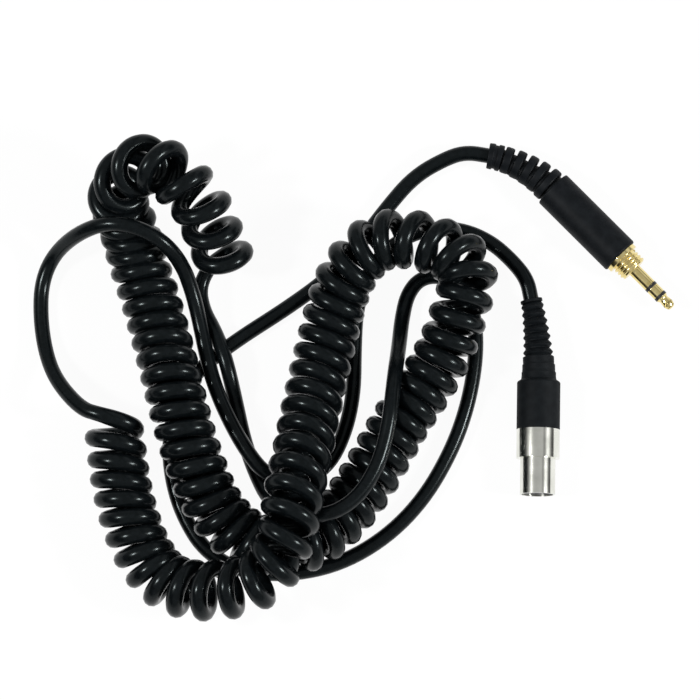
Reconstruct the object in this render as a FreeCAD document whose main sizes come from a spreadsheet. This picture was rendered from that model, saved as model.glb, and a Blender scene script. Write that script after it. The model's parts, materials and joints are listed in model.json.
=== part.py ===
"""Coiled headphone cord: a mini XLR socket, a curly cord with two straight leads, and a 3.5 mm stereo plug.

Millimetres, +Z up, resting on z = 0. The origin is at the bottom centre of the two connectors' common box.
Each connector is modelled along its own axis: local +Z points at its contact end and local +Y is up.
"""
import FreeCAD
import Part
import Sketcher
import math
import os

Vector = FreeCAD.Vector
doc = FreeCAD.newDocument("CoiledLead")

# Driving sizes

SIZES = {
    # cord
    "cord_diameter": 3.9,
    "curl_radius": 5.8,
    "curl_count": 77.5,
    "cord_sides": 5,
    "exit_run": 6.0,
    "curl_run": 4.0,
    "core_diameter": 0.9,
    "core_circle": 1.0,
    # mini XLR socket
    "socket_radius": 5.7,
    "socket_wall": 0.7,
    "socket_length": 7.6,
    "nose_radius": 4.65,
    "nose_wall": 0.5,
    "nose_length": 9.5,
    "tail_radius": 5.1,
    "tail_wall": 0.5,
    "tail_length": 6.4,
    "insert_recess": 0.4,
    "insert_clearance": 0.05,
    "insert_flange": 4.8,
    "contact_radius": 0.75,
    "contact_bore": 0.5,
    "contact_depth": 5.0,
    "contact_circle": 2.0,
    "contact_rear": 1.6,
    "leaf_height": 3.9,
    "leaf_thickness": 0.35,
    "leaf_width": 3.0,
    "leaf_root": 9.9,
    "leaf_drop": 1.1,
    "channel_drop": 1.7,
    "latch_clearance": 0.15,
    "button_length": 4.0,
    "button_proud": 0.25,
    "tongue_length": 3.0,
    "tongue_width": 2.0,
    "tooth_length": 1.1,
    "tooth_proud": 0.15,
    "carrier_length": 3.0,
    "boot_length": 12.6,
    "boot_shoulder": 0.6,
    "boot_cavity_radius": 4.2,
    "boot_cavity_length": 4.6,
    "socket_relief_length": 21.5,
    "socket_relief_bend": 12.0,
    "socket_relief_root": 4.65,
    "socket_relief_waist": 4.0,
    "socket_relief_end": 2.9,
    "socket_relief_collar": 0.8,
    "socket_bands": 3,
    "socket_bands_length": 6.3,
    "socket_band_depth": 0.2,
    "socket_ribs": 7,
    "socket_rib_depth": 0.65,
    # plug
    "shaft_radius": 1.75,
    "shaft_length": 14.1,
    "tip_length": 3.95,
    "tip_edge": 0.09,
    "tip_bulge_radius": 1.66,
    "tip_bulge_back": 1.66,
    "tip_neck_radius": 1.15,
    "tip_neck_back": 3.08,
    "ring_length": 2.8,
    "insulator_length": 0.7,
    "rod_radius": 0.5,
    "tube_wall": 0.24,
    "tube_clearance": 0.03,
    "collar_radius": 3.9,
    "collar_length": 4.0,
    "flange_radius": 4.65,
    "flange_length": 1.2,
    "sleeve_tail_radius": 3.4,
    "sleeve_tail_length": 3.8,
    "lug_turn": 60.0,
    "lug_radius": 1.9,
    "lug_thickness": 0.6,
    "washer_radius": 3.0,
    "washer_thickness": 0.9,
    "barrel_radius": 5.2,
    "barrel_length": 24.1,
    "barrel_chamfer": 0.6,
    "barrel_cavity_radius": 4.2,
    "barrel_cavity_length": 17.0,
    "plug_relief_length": 19.5,
    "plug_relief_bend": 36.0,
    "plug_relief_root": 4.55,
    "plug_relief_end": 3.25,
    "plug_relief_collar": 3.7,
    "plug_ribs": 5,
    "plug_rib_depth": 0.9,
    # cord anchors inside both boots
    "anchor_wall": 0.45,
    "anchor_length": 3.2,
    "anchor_tail": 1.2,
    "anchor_clearance": 0.05,
    # where the socket's step and the plug's collar stand on the surface
    "socket_x": -11.84,
    "socket_y": -36.72,
    "plug_x": 13.91,
    "plug_y": 13.48,
}

SOCKET_PLACE = Vector(SIZES["socket_x"], SIZES["socket_y"], 0)
SOCKET_HEADING = -91.0
SOCKET_ROLL = -130.0
PLUG_PLACE = Vector(SIZES["plug_x"], SIZES["plug_y"], 0)
PLUG_HEADING = -45.5

sheet = doc.addObject("Spreadsheet::Sheet", "Sizes")
for row, (alias, value) in enumerate(SIZES.items(), 1):
    sheet.set("A%d" % row, alias.replace("_", " "))
    sheet.set("B%d" % row, str(value))
    sheet.setAlias("B%d" % row, alias)
doc.recompute()


class Size:
    """A length that keeps its expression in the sheet beside its present value."""

    def __init__(self, value, text):
        self.value = value
        self.text = text

    def _join(self, other, sign, value):
        other = other if isinstance(other, Size) else Size(other, repr(other))
        return Size(value(self.value, other.value), "(%s %s %s)" % (self.text, sign, other.text))

    def __add__(self, other):
        return self._join(other, "+", lambda a, b: a + b)

    def __sub__(self, other):
        return self._join(other, "-", lambda a, b: a - b)

    def __mul__(self, other):
        return self._join(other, "*", lambda a, b: a * b)

    def __neg__(self):
        return Size(-self.value, "(0 - %s)" % self.text)


def size(alias):
    return Size(sheet.get(alias), "Sizes." + alias)


NONE = Size(0.0, "0")
PARTS = []


def keep(piece, label, place=None):
    """Name a finished piece and put it on its connector's axis."""
    piece.Label = label
    if place is not None:
        piece.Placement = place
    PARTS.append(piece)
    return piece


# Solids on a local axis

def turned(name, profile, cuts=()):
    """A body revolved about its Z axis from (radius, height) corners, with grooves from more such profiles."""
    body = doc.addObject("PartDesign::Body", name)
    plane = [f for f in body.Origin.OriginFeatures if f.Role == "XZ_Plane"][0]
    for number, corners in enumerate([profile] + list(cuts)):
        sketch = body.newObject("Sketcher::SketchObject", "%sProfile%d" % (name, number))
        sketch.AttachmentSupport = [(plane, "")]
        sketch.MapMode = "FlatFace"
        draw_profile(sketch, corners)
        kind = "PartDesign::Groove" if number else "PartDesign::Revolution"
        feature = body.newObject(kind, "%sTurn%d" % (name, number))
        feature.Profile = sketch
        feature.ReferenceAxis = (sketch, ["V_Axis"])
        feature.Angle = 360
        doc.recompute()
    return body


def draw_profile(sketch, corners):
    """A closed outline whose corners are held at sheet sizes from the origin."""
    count = len(corners)
    for k in range(count):
        (r0, z0), (r1, z1) = corners[k], corners[(k + 1) % count]
        start, end = Vector(r0.value, z0.value, 0), Vector(r1.value, z1.value, 0)
        sketch.addGeometry(Part.LineSegment(start, end), False)
    for k in range(count):
        sketch.addConstraint(Sketcher.Constraint("Coincident", k, 2, (k + 1) % count, 1))
    for k, (radius, height) in enumerate(corners):
        for kind, distance, axis in (("DistanceX", radius, -2), ("DistanceY", height, -1)):
            if distance is NONE:
                sketch.addConstraint(Sketcher.Constraint("PointOnObject", k, 1, axis))
                continue
            at = sketch.addConstraint(Sketcher.Constraint(kind, -1, 1, k, 1, distance.value))
            sketch.setExpression("Constraints[%d]" % at, distance.text)


def cylinder(name, radius, low, high, x=NONE, y=NONE):
    piece = doc.addObject("Part::Cylinder", name)
    piece.setExpression("Radius", radius.text)
    piece.setExpression("Height", (high - low).text)
    place_at(piece, x, y, low)
    return piece


def box(name, x, y, z):
    """A box from three (low, high) pairs."""
    piece = doc.addObject("Part::Box", name)
    for side, (low, high) in zip(("Length", "Width", "Height"), (x, y, z)):
        piece.setExpression(side, (high - low).text)
    place_at(piece, x[0], y[0], z[0])
    return piece


def place_at(piece, x, y, z):
    for axis, distance in (("x", x), ("y", y), ("z", z)):
        piece.setExpression("Placement.Base." + axis, distance.text)


def joined(name, pieces):
    piece = doc.addObject("Part::MultiFuse", name)
    piece.Shapes = pieces
    return piece


def less(name, base, tools):
    piece = doc.addObject("Part::Cut", name)
    piece.Base = base
    piece.Tool = tools[0] if len(tools) == 1 else joined(name + "Tools", tools)
    return piece


def common(name, first, second):
    piece = doc.addObject("Part::Common", name)
    piece.Base = first
    piece.Tool = second
    return piece


def shaped(name, shape):
    piece = doc.addObject("Part::Feature", name)
    piece.Shape = shape
    return piece


def on_axis(point, heading, height, roll=0.0):
    """The placement of a level connector that points along a heading and is rolled about itself, in degrees."""
    ahead = Vector(math.cos(math.radians(heading)), math.sin(math.radians(heading)), 0)
    up = Vector(0, 0, 1)
    level = FreeCAD.Rotation(up.cross(ahead), up, ahead, "ZYX")
    return FreeCAD.Placement(point + up * height, level.multiply(FreeCAD.Rotation(Vector(0, 0, 1), roll)))


# Cord tubes

REACH_SHARE = 0.45
VOLUME_TOLERANCE = 0.01
CORE_STRAIGHT = 0.3


def rounded_path(points, name):
    """Straight runs joined by tangent arcs, each as large as its share of the shorter run allows."""
    edges, radii = [], []
    start = points[0]
    for k in range(1, len(points) - 1):
        before, after = points[k] - points[k - 1], points[k + 1] - points[k]
        reach = REACH_SHARE * min(before.Length, after.Length)
        half = before.getAngle(after) / 2
        radii.append(reach / math.tan(half))
        before.normalize()
        after.normalize()
        entry, leave = points[k] - before * reach, points[k] + after * reach
        inward = after - before
        inward.normalize()
        middle = points[k] + inward * (radii[-1] / math.cos(half) - radii[-1])
        edges.append(Part.LineSegment(start, entry).toShape())
        edges.append(Part.Arc(entry, middle, leave).toShape())
        start = leave
    edges.append(Part.LineSegment(start, points[-1]).toShape())
    if len(radii) > 3:
        print(name, "radii", " ".join("%.0f" % r for r in radii))
    return Part.Wire(edges)


def rim(at, along, radius, sides):
    """The flat-sided outline across a cord's start."""
    side = along.cross(Vector(0, 0, 1))
    if side.Length < 1e-6:
        side = Vector(1, 0, 0)
    side.normalize()
    top = side.cross(along)
    top.normalize()
    corners = []
    for k in range(sides + 1):
        angle = 2 * math.pi * k / sides
        corners.append(at + (top * math.cos(angle) + side * math.sin(angle)) * radius)
    return Part.makePolygon(corners)


def section_area(radius, sides):
    return sides / 2 * radius ** 2 * math.sin(2 * math.pi / sides)


def tube(points, radius, name):
    """A flat-sided solid along a rounded path, its volume held against section times length."""
    path = rounded_path(points, name)
    sides = SIZES["cord_sides"]
    solid = path.makePipeShell([rim(points[0], points[1] - points[0], radius, sides)], True, False)
    expected = section_area(radius, sides) * path.Length
    if abs(solid.Volume / expected - 1) > VOLUME_TOLERANCE:
        raise ValueError("%s holds %.1f, not %.1f" % (name, solid.Volume, expected))
    return solid, path.Length


# Curly cord: the route has one point to two curls, a half step at each end

CURL_ROUTE = [
    (-121.8, -27.7, 7.8), (-122.4, -32.5, 7.8), (-121.6, -42.5, 7.8), (-119.5, -52.7, 7.8), (-115.5, -64.0, 7.8),
    (-105.8, -72.8, 8.2), (-92.9, -74.6, 13.5), (-81.3, -72.8, 22.5), (-76.1, -62.3, 27.7), (-75.8, -49.8, 25.5),
    (-74.2, -39.2, 19.5), (-72.4, -28.5, 14.2), (-70.5, -18.5, 11.0), (-68.4, -8.8, 9.8), (-65.8, 0.4, 10.0),
    (-62.6, 10.3, 12.0), (-53.7, 20.6, 12.2), (-37.9, 21.4, 12.2), (-27.6, 9.3, 12.2), (-30.8, -2.7, 11.2),
    (-35.1, -12.2, 9.5), (-40.3, -20.6, 8.0), (-45.8, -28.8, 7.8), (-50.5, -37.2, 7.8), (-55.0, -46.7, 7.8),
    (-61.3, -55.6, 7.8), (-71.3, -61.1, 7.8), (-83.7, -60.9, 7.8), (-93.7, -53.6, 8.5), (-98.9, -44.0, 11.0),
    (-102.5, -34.1, 12.0), (-104.9, -24.5, 12.4), (-107.1, -14.7, 11.6), (-109.5, -4.9, 9.0), (-111.8, 4.7, 7.8),
    (-115.0, 14.4, 7.8), (-121.6, 25.2, 9.5), (-126.6, 38.8, 15.0), (-110.8, 49.6, 19.0), (-98.7, 35.2, 13.0),
    (-95.5, 22.6, 9.0), (-92.1, 16.0, 7.9),
]
LAG = 1.5


def clamped_spline(points):
    """The quadratic spline with these control points, from the first to the last."""
    spans = len(points) - 2
    spline = Part.BSplineCurve()
    multiplicities = [3] + [1] * (spans - 1) + [3]
    knots = [float(k) for k in range(spans + 1)]
    spline.buildFromPolesMultsKnots([Vector(*p) for p in points], multiplicities, knots, False, 2)
    return spline, spans


class Curls:
    """A left-handed helix about a route, whose rings turn a little later than the route does."""

    def __init__(self, route, turns, radius):
        self.spline, self.spans = clamped_spline(route)
        self.turns = turns
        self.radius = radius

    def point(self, turn):
        at = turn / self.turns * self.spans
        centre = self.spline.value(at)
        along = self.spline.value(min(at + LAG, self.spans)) - self.spline.value(max(at - LAG, 0.0))
        side = along.cross(Vector(0, 0, 1))
        side.normalize()
        top = side.cross(along)
        top.normalize()
        angle = 2 * math.pi * turn
        return centre + top * (self.radius * math.cos(angle)) - side * (self.radius * math.sin(angle))

    def heading(self, turn):
        step = 1e-3
        along = self.point(min(turn + step, self.turns)) - self.point(max(turn - step, 0.0))
        along.normalize()
        return along

    def least_gap(self, cord, per_turn=24):
        """The least distance between surfaces of turns, measured on points, with the turn where it is."""
        count = int(self.turns * per_turn)
        points = [self.point(k / per_turn) for k in range(count + 1)]
        cell = cord * 1.5
        grid = {}
        for k, p in enumerate(points):
            grid.setdefault((int(p.x // cell), int(p.y // cell), int(p.z // cell)), []).append(k)
        least, where = 1e9, 0
        steps = [(i, j, k) for i in (-1, 0, 1) for j in (-1, 0, 1) for k in (-1, 0, 1)]
        for (i, j, k), inside in grid.items():
            near = [n for di, dj, dk in steps for n in grid.get((i + di, j + dj, k + dk), ())]
            for a in inside:
                for b in near:
                    if b - a > per_turn // 2:
                        gap = (points[a] - points[b]).Length - cord
                        if gap < least:
                            least, where = gap, a / per_turn
        return least, where


def arc_from(start, tangent, end):
    """The arc that leaves start along a tangent and reaches end."""
    chord = end - start
    axis = tangent.cross(chord)
    axis.normalize()
    inward = axis.cross(tangent)
    radius = chord.Length ** 2 / (2 * chord.dot(inward))
    centre = start + inward * radius
    half = (start + end) * 0.5 - centre
    half.normalize()
    return Part.Arc(start, centre + half * abs(radius), end).toShape()


def biarc(start, leaving, end, arriving):
    """Two tangent arcs of equal reach between two directed points."""
    chord, both = end - start, leaving + arriving
    a = 2 * (1 - leaving.dot(arriving))
    b = 2 * chord.dot(both)
    reach = (math.sqrt(b * b + 4 * a * chord.dot(chord)) - b) / (2 * a)
    meet = (start + end + (leaving - arriving) * reach) * 0.5
    first, second = arc_from(start, leaving, meet), arc_from(end, arriving * -1, meet)
    return [first, second]


def curly_cord(curls, diameter, sides):
    """One tube of many turns, a biarc to each half turn, with a straight diameter at both ends."""
    first, last = curls.point(0.0), curls.point(curls.turns)
    entry, leave = curls.heading(0.0), curls.heading(curls.turns)
    edges = [Part.LineSegment(first - entry * diameter, first).toShape()]
    halves = int(round(curls.turns * 2))
    for k in range(halves):
        a, b = k * curls.turns / halves, (k + 1) * curls.turns / halves
        edges += biarc(curls.point(a), curls.heading(a), curls.point(b), curls.heading(b))
    edges.append(Part.LineSegment(last, last + leave * diameter).toShape())
    path = Part.Wire(Part.__sortEdges__(edges))
    start = first - entry * diameter
    solid = path.makePipeShell([rim(start, entry, diameter / 2, sides)], True, False)
    expected = section_area(diameter / 2, sides) * path.Length
    print("curls: length %.0f mm, volume %.0f of %.0f" % (path.Length, solid.Volume, expected))
    print("curls: arcs of %.1f mm radius at least" % min(e.Curve.Radius for e in path.Edges[1:-1]))
    if not solid.isValid():
        solid.fix(1e-5, 1e-5, 1e-4)
    return solid, start, last + leave * diameter


# Mini XLR socket, z = 0 at the step between shell and nose

boot_place = on_axis(SOCKET_PLACE, SOCKET_HEADING, SIZES["socket_radius"])
socket_place = on_axis(SOCKET_PLACE, SOCKET_HEADING, SIZES["socket_radius"], SOCKET_ROLL)
shell_r, shell_in = size("socket_radius"), size("socket_radius") - size("socket_wall")
nose_r, nose_in = size("nose_radius"), size("nose_radius") - size("nose_wall")
tail_r, tail_in = size("tail_radius"), size("tail_radius") - size("tail_wall")
nose_end = size("nose_length")
shell_back = -size("socket_length")
tail_back = shell_back - size("tail_length")
step_back = -size("socket_wall")

shell_turned = turned("SocketShellBlank", [
    (nose_in, nose_end), (nose_r, nose_end), (nose_r, NONE), (shell_r, NONE), (shell_r, shell_back),
    (tail_r, shell_back), (tail_r, tail_back), (tail_in, tail_back), (tail_in, shell_back),
    (shell_in, shell_back), (shell_in, step_back), (nose_in, step_back),
])
leaf_low = size("leaf_height")
leaf_high = leaf_low + size("leaf_thickness")
leaf_half = size("leaf_width") * 0.5
tongue_half = size("tongue_width") * 0.5
slack = size("latch_clearance")
past_shell = shell_r + size("socket_wall")
past_nose = nose_r + size("nose_wall")
button_front = step_back - slack * 2
button_back = button_front - size("button_length")
button_window = box("ButtonWindow", (-(leaf_half + slack), leaf_half + slack), (leaf_high, past_shell),
                    (button_back - slack, step_back))
tooth_front = size("tongue_length")
tooth_back = tooth_front - size("tooth_length")
tooth_window = box("ToothWindow", (-(tongue_half + slack), tongue_half + slack),
                   (leaf_low - slack, past_nose), (tooth_back - slack, tooth_front + slack * 2))
keep(less("SocketShell", shell_turned, [button_window, tooth_window]), "socket_shell", socket_place)

gap = size("insert_clearance")
insert_front = nose_end - size("insert_recess")
flange_front = step_back - gap
flange_back = flange_front - size("insert_flange")
insert_blank = turned("InsertBlank", [
    (NONE, insert_front), (nose_in - gap, insert_front), (nose_in - gap, flange_front),
    (shell_in - gap, flange_front), (shell_in - gap, flange_back), (NONE, flange_back),
])
drop = size("leaf_drop")
flange_flat = box("FlangeFlat", (-shell_in, shell_in), (leaf_low - drop, shell_r), (flange_back, flange_front))
tongue_channel = box("TongueChannel", (-(tongue_half + slack * 2), tongue_half + slack * 2),
                     (leaf_low - size("channel_drop"), nose_r), (flange_front, tooth_front + slack * 2))
contact_places = []
for number, degrees in enumerate((30, 150, 270)):
    across, upward = math.cos(math.radians(degrees)), math.sin(math.radians(degrees))
    circle = size("contact_circle")
    contact_places.append((circle * across, circle * upward))
contact_holes = [
    cylinder("ContactHole%d" % n, size("contact_radius") + gap, flange_back, insert_front, x, y)
    for n, (x, y) in enumerate(contact_places)
]
keep(less("Insert", insert_blank, [flange_flat, tongue_channel] + contact_holes), "socket_insert", socket_place)

contact_front = insert_front - size("insert_recess")
contact_back = flange_back - size("contact_rear")
sockets = []
for number, (x, y) in enumerate(contact_places):
    pin = cylinder("Contact%d" % number, size("contact_radius"), contact_back, contact_front, x, y)
    bore = cylinder("ContactBore%d" % number, size("contact_bore"), contact_front - size("contact_depth"),
                    contact_front, x, y)
    sockets.append(less("Socket%d" % number, pin, [bore]))
keep(joined("Sockets", sockets), "socket_contacts", socket_place)

leaf_root = -size("leaf_root")
carrier_back = leaf_root - size("carrier_length")
carrier_blank = cylinder("CarrierBlank", tail_in - gap, carrier_back, leaf_root)
carrier_flat = box("CarrierFlat", (-tail_r, tail_r), (leaf_low, tail_r), (carrier_back, leaf_root))
carrier_hole = cylinder("CarrierHole", size("contact_circle") + size("contact_radius"), carrier_back, leaf_root)
keep(less("LatchCarrier", carrier_blank, [carrier_flat, carrier_hole]), "latch_carrier", socket_place)

leaf_back = leaf_root - size("leaf_thickness")
leaf = box("Leaf", (-leaf_half, leaf_half), (leaf_low, leaf_high), (leaf_back, button_front))
button_block = box("ButtonBlock", (-leaf_half, leaf_half), (leaf_high, past_shell),
                   (button_back, button_front))
button_round = cylinder("ButtonRound", shell_r + size("button_proud"), leaf_back, button_front)
button = common("Button", button_block, button_round)
tongue_low = leaf_low - size("leaf_thickness")
tongue = box("Tongue", (-tongue_half, tongue_half), (tongue_low, leaf_low),
             (button_front - slack, tooth_front))
joggle = box("Joggle", (-tongue_half, tongue_half), (tongue_low, leaf_high),
             (button_front - slack * 2, button_front))
tooth_block = box("ToothBlock", (-tongue_half, tongue_half), (leaf_low, past_nose), (tooth_back, tooth_front))
tooth_round = cylinder("ToothRound", nose_r + size("tooth_proud"), tooth_back, tooth_front)
tooth = common("Tooth", tooth_block, tooth_round)
keep(joined("Latch", [leaf, button, joggle, tongue, tooth]), "latch", socket_place)


# Moulded boots: a turned body and a bent, ribbed relief

def bent_axis(length, bend, root, side):
    """Point and direction at a distance along a relief that starts at root, going back and bending to one side."""
    radius = length / math.radians(bend)

    def at(distance):
        angle = distance / radius
        place = Vector(side * radius * (1 - math.cos(angle)), 0, root - radius * math.sin(angle))
        return place, Vector(side * math.sin(angle), 0, -math.cos(angle))
    return at


def rib_stations(low, high, count, first, last, depth, foot, crest):
    """(distance, radius) of ribs that taper from one radius to another, each from its foot up to a level crest.

    Foot and crest are shares of the ribs' pitch.
    """
    pitch = (high - low) / count
    stations = []
    for k in range(count):
        middle = low + (k + 0.5) * pitch
        radius = first + (last - first) * (k + 0.5) / count
        stations += [(middle - foot * pitch / 2, radius - depth), (middle - crest * pitch / 2, radius),
                     (middle + crest * pitch / 2, radius), (middle + foot * pitch / 2, radius - depth)]
    return stations


def lofted(at, stations):
    """A solid lofted straight through circles across a relief's axis."""
    rings = []
    for distance, radius in stations:
        place, along = at(distance)
        rings.append(Part.Wire([Part.Circle(place, along, radius).toShape()]))
    return Part.makeLoft(rings, True, True)


boot_front = shell_back
boot_back = boot_front - size("boot_length")
shoulder_back = boot_back - size("boot_shoulder")
boot_in = size("tail_radius") + gap
cavity_back = tail_back - size("boot_cavity_length")
socket_boot_body = turned("SocketBootBody", [
    (boot_in, boot_front), (shell_r, boot_front), (shell_r, boot_back),
    (size("socket_relief_root"), shoulder_back), (NONE, shoulder_back), (NONE, cavity_back),
    (size("boot_cavity_radius"), cavity_back),
    (size("boot_cavity_radius"), tail_back - gap), (boot_in, tail_back - gap),
])
socket_relief_at = bent_axis(SIZES["socket_relief_length"], SIZES["socket_relief_bend"], shoulder_back.value, -1)
socket_collar_at = SIZES["socket_relief_length"] - SIZES["socket_relief_collar"]
socket_relief = shaped("SocketRelief", lofted(
    socket_relief_at, [(0.0, SIZES["socket_relief_root"])]
    + rib_stations(0.0, SIZES["socket_bands_length"], SIZES["socket_bands"], SIZES["socket_relief_root"],
                   SIZES["socket_relief_waist"], SIZES["socket_band_depth"], foot=0.9, crest=0.8)
    + rib_stations(SIZES["socket_bands_length"], socket_collar_at, SIZES["socket_ribs"],
                   SIZES["socket_relief_waist"], SIZES["socket_relief_end"], SIZES["socket_rib_depth"],
                   foot=0.96, crest=0.12)
    + [(socket_collar_at, SIZES["socket_relief_end"]),
       (SIZES["socket_relief_length"], SIZES["socket_relief_end"])]))
keep(joined("SocketBoot", [socket_boot_body, socket_relief]), "socket_boot", boot_place)


def cord_anchor(name, label, back, place):
    """The crimped ring on the jacket, and the jacket's end in it. Returns where the cores start."""
    jacket, loose = size("cord_diameter") * 0.5, size("anchor_clearance")
    ring_back = back + size("anchor_tail")
    ring_front = ring_back + size("anchor_length")
    ring_in, ring_out = jacket + loose, jacket + loose + size("anchor_wall")
    ring = turned(name + "Ring", [
        (ring_in, ring_back), (ring_out, ring_back), (ring_out, ring_front), (ring_in, ring_front),
    ])
    keep(ring, label + "_cord_clamp", place)
    jacket_end = turned(name + "JacketEnd", [
        (NONE, back), (jacket, back), (jacket, ring_front), (NONE, ring_front),
    ])
    keep(jacket_end, label + "_jacket_end", place)
    return ring_front


def cores(name, label, start, ends, place):
    """Insulated cores from the jacket's end to their terminals, straight for a share of the way at each end."""
    radius = SIZES["core_diameter"] / 2
    shapes = []
    for number, (x, y, z) in enumerate(ends):
        angle = math.atan2(y, x)
        inner = Vector(math.cos(angle), math.sin(angle), 0) * SIZES["core_circle"]
        outer = Vector(x, y, 0)
        lift = (z - start) * CORE_STRAIGHT
        path = [inner + Vector(0, 0, start), inner + Vector(0, 0, start + lift),
                outer + Vector(0, 0, z - lift), outer + Vector(0, 0, z)]
        shapes.append(tube(path, radius, "%s core %d" % (label, number))[0])
    keep(shaped(name, Part.makeCompound(shapes)), label + "_cores", place)


socket_anchor_front = cord_anchor("SocketAnchor", "socket", cavity_back, socket_place)
cores("SocketCores", "socket", socket_anchor_front.value,
      [(x.value, y.value, contact_back.value) for x, y in contact_places], socket_place)


# 3.5 mm plug, z = 0 at the front of the threaded collar

plug_place = on_axis(PLUG_PLACE, PLUG_HEADING, SIZES["barrel_radius"])
shaft_r = size("shaft_radius")
loose = size("tube_clearance")
wall = size("tube_wall")
tip_end = size("shaft_length")
tip_back = tip_end - size("tip_length")
tip_gap_back = tip_back - size("insulator_length")
ring_back = tip_gap_back - size("ring_length")
ring_gap_back = ring_back - size("insulator_length")
rod_r = size("rod_radius")
tip_tube_in = rod_r + loose
tip_tube_out = tip_tube_in + wall
ring_tube_in = tip_tube_out + loose
ring_tube_out = ring_tube_in + wall
back_tube_in = ring_tube_out + loose
back_tube_out = back_tube_in + wall
sleeve_in = back_tube_out + loose
gap_r = shaft_r - loose

collar_back = -size("collar_length")
plug_flange_back = collar_back - size("flange_length")
sleeve_back = plug_flange_back - size("sleeve_tail_length")
washer_back = sleeve_back - size("washer_thickness")
lug = size("lug_thickness")
ring_lug_back = washer_back - lug
spacer_back = ring_lug_back - lug
tip_lug_back = spacer_back - lug

keep(turned("PlugTip", [
    (NONE, tip_end), (rod_r, tip_end), (size("tip_bulge_radius"), tip_end - size("tip_bulge_back")),
    (size("tip_neck_radius"), tip_end - size("tip_neck_back")), (shaft_r, tip_back + size("tip_edge")),
    (shaft_r, tip_back), (rod_r, tip_back), (rod_r, tip_lug_back), (NONE, tip_lug_back),
]), "plug_tip", plug_place)
keep(turned("TipInsulator", [
    (tip_tube_in, tip_back), (gap_r, tip_back), (gap_r, tip_gap_back), (tip_tube_out, tip_gap_back),
    (tip_tube_out, spacer_back), (tip_tube_in, spacer_back),
]), "plug_tip_insulator", plug_place)
keep(turned("PlugRing", [
    (ring_tube_in, tip_gap_back), (shaft_r, tip_gap_back), (shaft_r, ring_back), (ring_tube_out, ring_back),
    (ring_tube_out, washer_back), (ring_tube_in, washer_back),
]), "plug_ring", plug_place)
keep(turned("RingInsulator", [
    (back_tube_in, ring_back), (gap_r, ring_back), (gap_r, ring_gap_back), (back_tube_out, ring_gap_back),
    (back_tube_out, sleeve_back), (back_tube_in, sleeve_back),
]), "plug_ring_insulator", plug_place)
keep(turned("PlugSleeve", [
    (sleeve_in, ring_gap_back), (shaft_r, ring_gap_back), (shaft_r, NONE), (size("collar_radius"), NONE),
    (size("collar_radius"), collar_back), (size("flange_radius"), collar_back),
    (size("flange_radius"), plug_flange_back), (size("sleeve_tail_radius"), plug_flange_back),
    (size("sleeve_tail_radius"), sleeve_back), (sleeve_in, sleeve_back),
]), "plug_sleeve", plug_place)
keep(turned("TerminalWasher", [
    (ring_tube_out + loose, sleeve_back), (size("washer_radius"), sleeve_back),
    (size("washer_radius"), washer_back), (ring_tube_out + loose, washer_back),
]), "plug_terminal_washer", plug_place)


def lug_piece(name, label, inner, front, back, degrees):
    """A washer-shaped terminal with a tag standing out to one side for its core."""
    disc = turned(name + "Disc", [
        (inner, front), (size("lug_radius"), front), (size("lug_radius"), back), (inner, back),
    ])
    tag = box(name + "Tag", (inner + wall, size("washer_radius")), (-lug, lug), (back, front))
    whole = joined(name, [disc, tag])
    turn = FreeCAD.Placement(Vector(0, 0, 0), FreeCAD.Rotation(Vector(0, 0, 1), degrees))
    keep(whole, label, plug_place.multiply(turn))


lug_turn = SIZES["lug_turn"]
lug_piece("RingLug", "plug_ring_terminal", tip_tube_out + loose, washer_back, ring_lug_back, lug_turn)
lug_piece("TipLug", "plug_tip_terminal", rod_r + loose, spacer_back, tip_lug_back, -lug_turn)

barrel_front = plug_flange_back
barrel_back = barrel_front - size("barrel_length")
barrel_cavity_back = sleeve_back - size("barrel_cavity_length")
barrel_r = size("barrel_radius")
chamfer = size("barrel_chamfer")
tail_fit = size("sleeve_tail_radius") + loose
barrel_body = turned("BarrelBody", [
    (tail_fit, barrel_front), (barrel_r - chamfer, barrel_front), (barrel_r, barrel_front - chamfer),
    (barrel_r, barrel_back + chamfer), (barrel_r - chamfer, barrel_back), (NONE, barrel_back),
    (NONE, barrel_cavity_back), (size("barrel_cavity_radius"), barrel_cavity_back),
    (size("barrel_cavity_radius"), sleeve_back), (tail_fit, sleeve_back),
])
plug_relief_at = bent_axis(SIZES["plug_relief_length"], SIZES["plug_relief_bend"], barrel_back.value, -1)
plug_collar_at = SIZES["plug_relief_length"] - SIZES["plug_relief_collar"]
plug_relief = shaped("PlugRelief", lofted(
    plug_relief_at, [(0.0, SIZES["plug_relief_root"] - SIZES["plug_rib_depth"])]
    + rib_stations(0.0, plug_collar_at, SIZES["plug_ribs"], SIZES["plug_relief_root"],
                   SIZES["plug_relief_end"], SIZES["plug_rib_depth"], foot=0.7, crest=0.4)
    + [(plug_collar_at, SIZES["plug_relief_end"]), (SIZES["plug_relief_length"], SIZES["plug_relief_end"])]))
keep(joined("PlugBarrel", [barrel_body, plug_relief]), "plug_barrel", plug_place)

plug_anchor_front = cord_anchor("PlugAnchor", "plug", barrel_cavity_back, plug_place)
tag_reach = SIZES["washer_radius"] - SIZES["core_diameter"] / 2
tag_x, tag_y = tag_reach * math.cos(math.radians(lug_turn)), tag_reach * math.sin(math.radians(lug_turn))
plug_core_ends = [
    (tag_x, tag_y, ring_lug_back.value),
    (tag_x, -tag_y, tip_lug_back.value),
    (-tag_reach, 0.0, washer_back.value),
]
cores("PlugCores", "plug", plug_anchor_front.value, plug_core_ends, plug_place)


# Cords: both leads run from their relief's end to the curls

curls = Curls(CURL_ROUTE, SIZES["curl_count"], SIZES["curl_radius"])
curl_solid, curl_start, curl_end = curly_cord(curls, SIZES["cord_diameter"], SIZES["cord_sides"])
keep(shaped("CurlyCord", curl_solid), "curly_cord")
least, turn = curls.least_gap(SIZES["cord_diameter"])
print("curls: least gap to itself %.2f mm, at turn %.1f" % (least, turn))

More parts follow.
